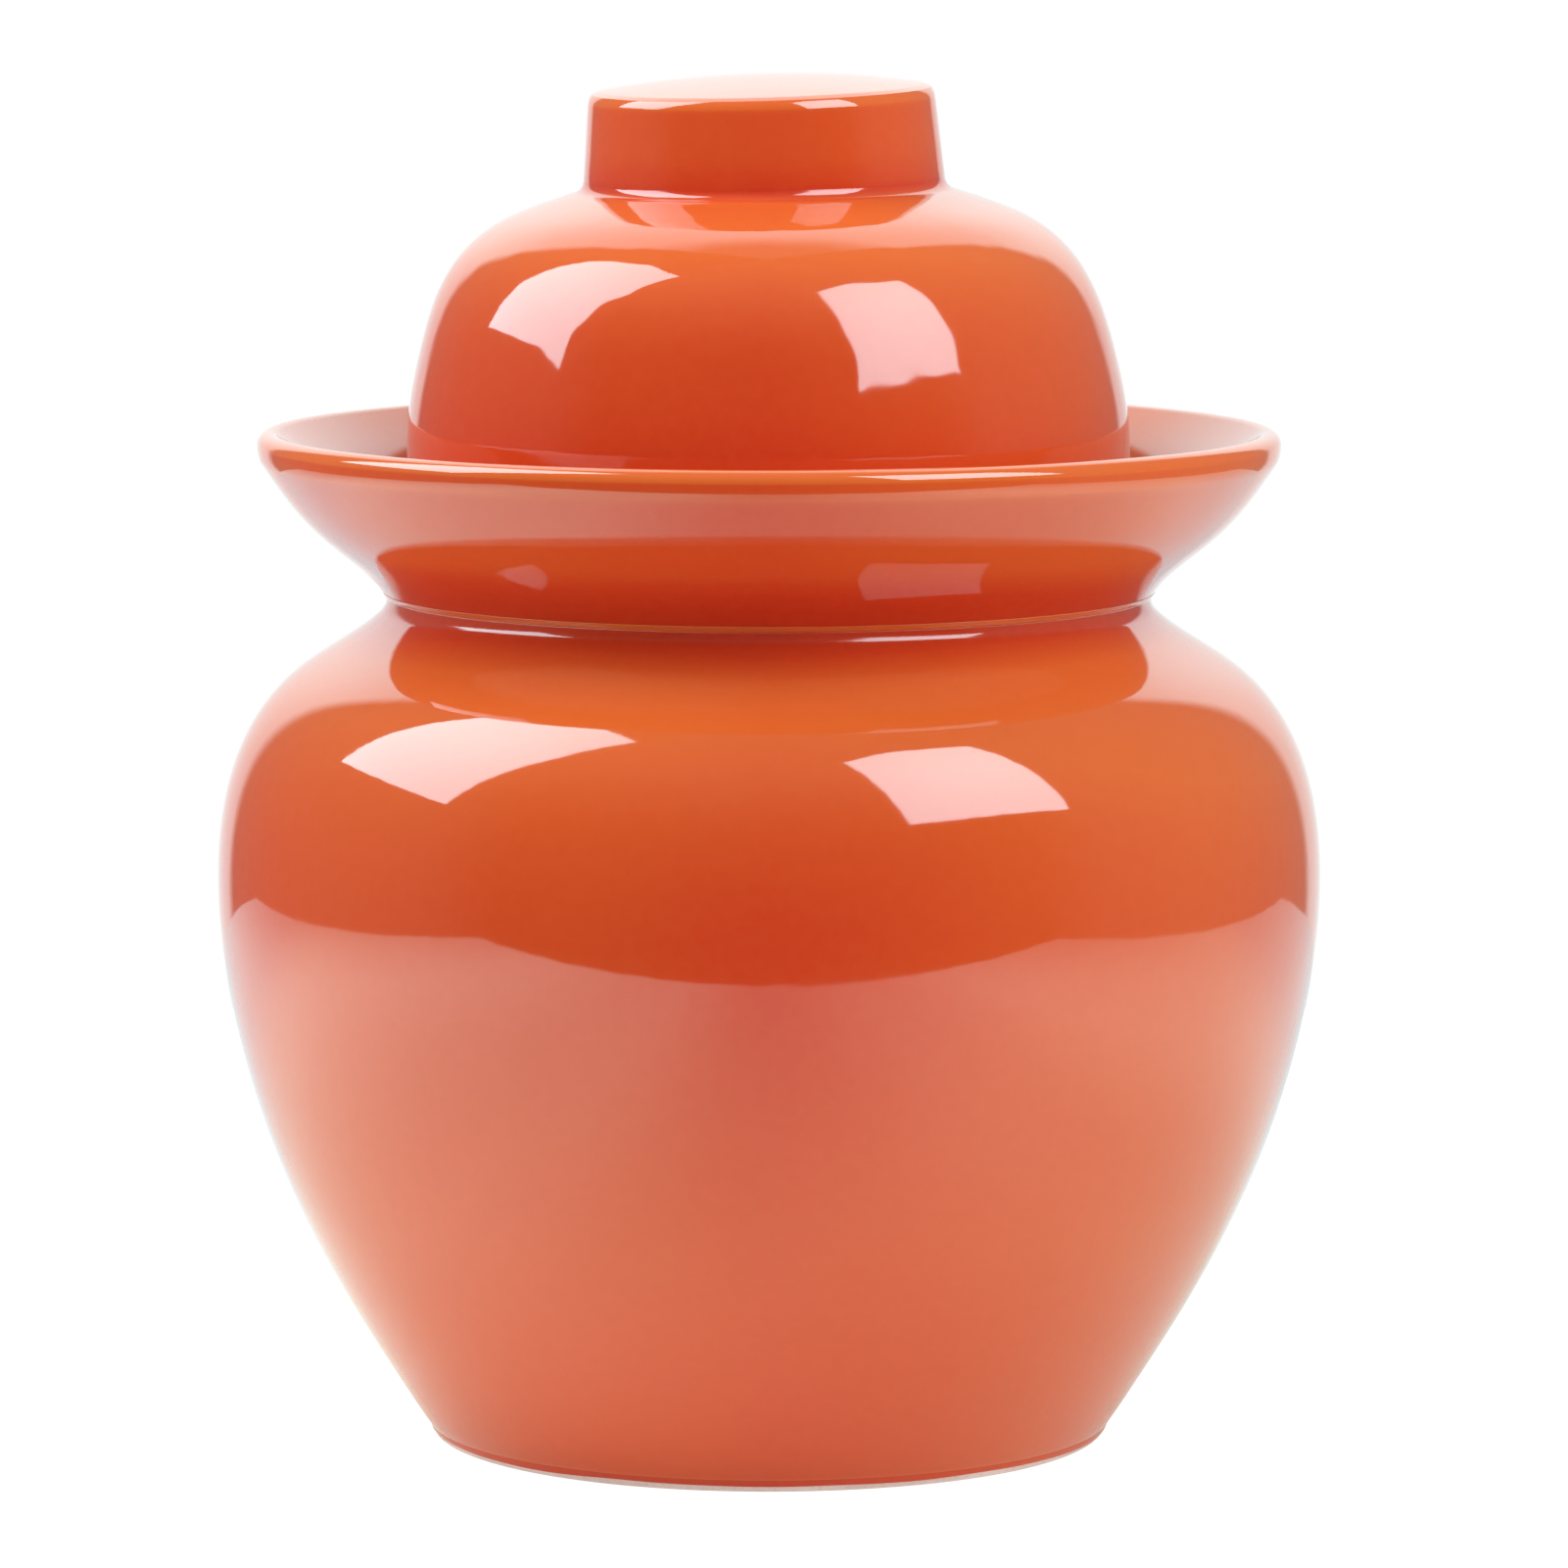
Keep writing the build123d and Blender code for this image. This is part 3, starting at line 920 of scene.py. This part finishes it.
class JAR_OT_make_studio(bpy.types.Operator):
    """Set up the floor, the lamps and the camera"""

    bl_idname = "jar.make_studio"
    bl_label = "Make Studio"

    def execute(self, context):
        studio = context.scene.jar_studio
        side, front, back = studio.floor_side, studio.floor_front, studio.floor_back
        mesh = bpy.data.meshes.new("floor")
        corners = [(-side, -front, 0), (side, -front, 0), (side, back, 0), (-side, back, 0)]
        mesh.from_pydata(corners, [], [(0, 1, 2, 3)])
        mesh.materials.append(floor_material(studio))
        floor = bpy.data.objects.new("floor", mesh)
        context.collection.objects.link(floor)
        # Each lamp's name, place, facing and dip in degrees, width, height, share of brightness, and cloth
        lamps = (
            ("left", (-0.4533, -0.0622, 0.648), -105, 31, 0.414, 0.60, studio.left_share, LEFT_CLOTH),
            ("right", (0.3893, -0.3468, 0.655), 47.5, 24, 0.405, 0.505, studio.right_share, RIGHT_CLOTH),
        )
        for name, place, facing, dip, width, height, share, cloth in lamps:
            matrix = aimed(place, radians(facing), radians(dip))
            soft_lamp(f"{name}_lamp", matrix, width, height, studio.lamp_brightness * share)
            gleam_panel(f"{name}_cloth", matrix, cloth, studio.gleam_brightness)
        context.scene.world = studio_air(studio)
        camera = bpy.data.cameras.new("camera")
        camera.sensor_width = 36.0
        camera.sensor_fit = "HORIZONTAL"
        camera.lens = studio.focal_length
        holder = bpy.data.objects.new("camera", camera)
        holder.location = studio.camera_place
        holder.rotation_euler = (pi / 2 - studio.camera_dip, 0, 0)
        context.collection.objects.link(holder)
        context.scene.camera = holder
        context.scene.view_settings.view_transform = "Standard"
        return {"FINISHED"}


class JAR_PT_tools(bpy.types.Panel):
    """Buttons and settings of the water seal jar"""

    bl_label = "Water Seal Jar"
    bl_idname = "JAR_PT_tools"
    bl_space_type = "VIEW_3D"
    bl_region_type = "UI"
    bl_category = "Jar"

    def draw(self, context):
        scene = context.scene
        for title, settings in (
            ("Shape", scene.jar_shape), ("Finish", scene.jar_finish), ("Studio", scene.jar_studio)
        ):
            box = self.layout.box()
            box.label(text=title)
            for name in settings.__annotations__:
                box.prop(settings, name)
        for operator in OPERATORS:
            self.layout.operator(operator.bl_idname)


SETTINGS = (JarShapeSettings, JarFinishSettings, JarStudioSettings)
OPERATORS = (JAR_OT_make_pot, JAR_OT_make_dish, JAR_OT_make_bands, JAR_OT_make_lid, JAR_OT_make_studio)
CLASSES = (*SETTINGS, *OPERATORS, JAR_PT_tools)


def register():
    for each in CLASSES:
        bpy.utils.register_class(each)
    bpy.types.Scene.jar_shape = PointerProperty(type=JarShapeSettings)
    bpy.types.Scene.jar_finish = PointerProperty(type=JarFinishSettings)
    bpy.types.Scene.jar_studio = PointerProperty(type=JarStudioSettings)


def unregister():
    del bpy.types.Scene.jar_studio
    del bpy.types.Scene.jar_finish
    del bpy.types.Scene.jar_shape
    for each in reversed(CLASSES):
        bpy.utils.unregister_class(each)


def main():
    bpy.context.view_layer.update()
    register()
    bpy.ops.jar.make_pot()
    bpy.ops.jar.make_dish()
    bpy.ops.jar.make_bands()
    bpy.ops.jar.make_lid()
    bpy.ops.jar.make_studio()


if __name__ == "__main__":
    main()
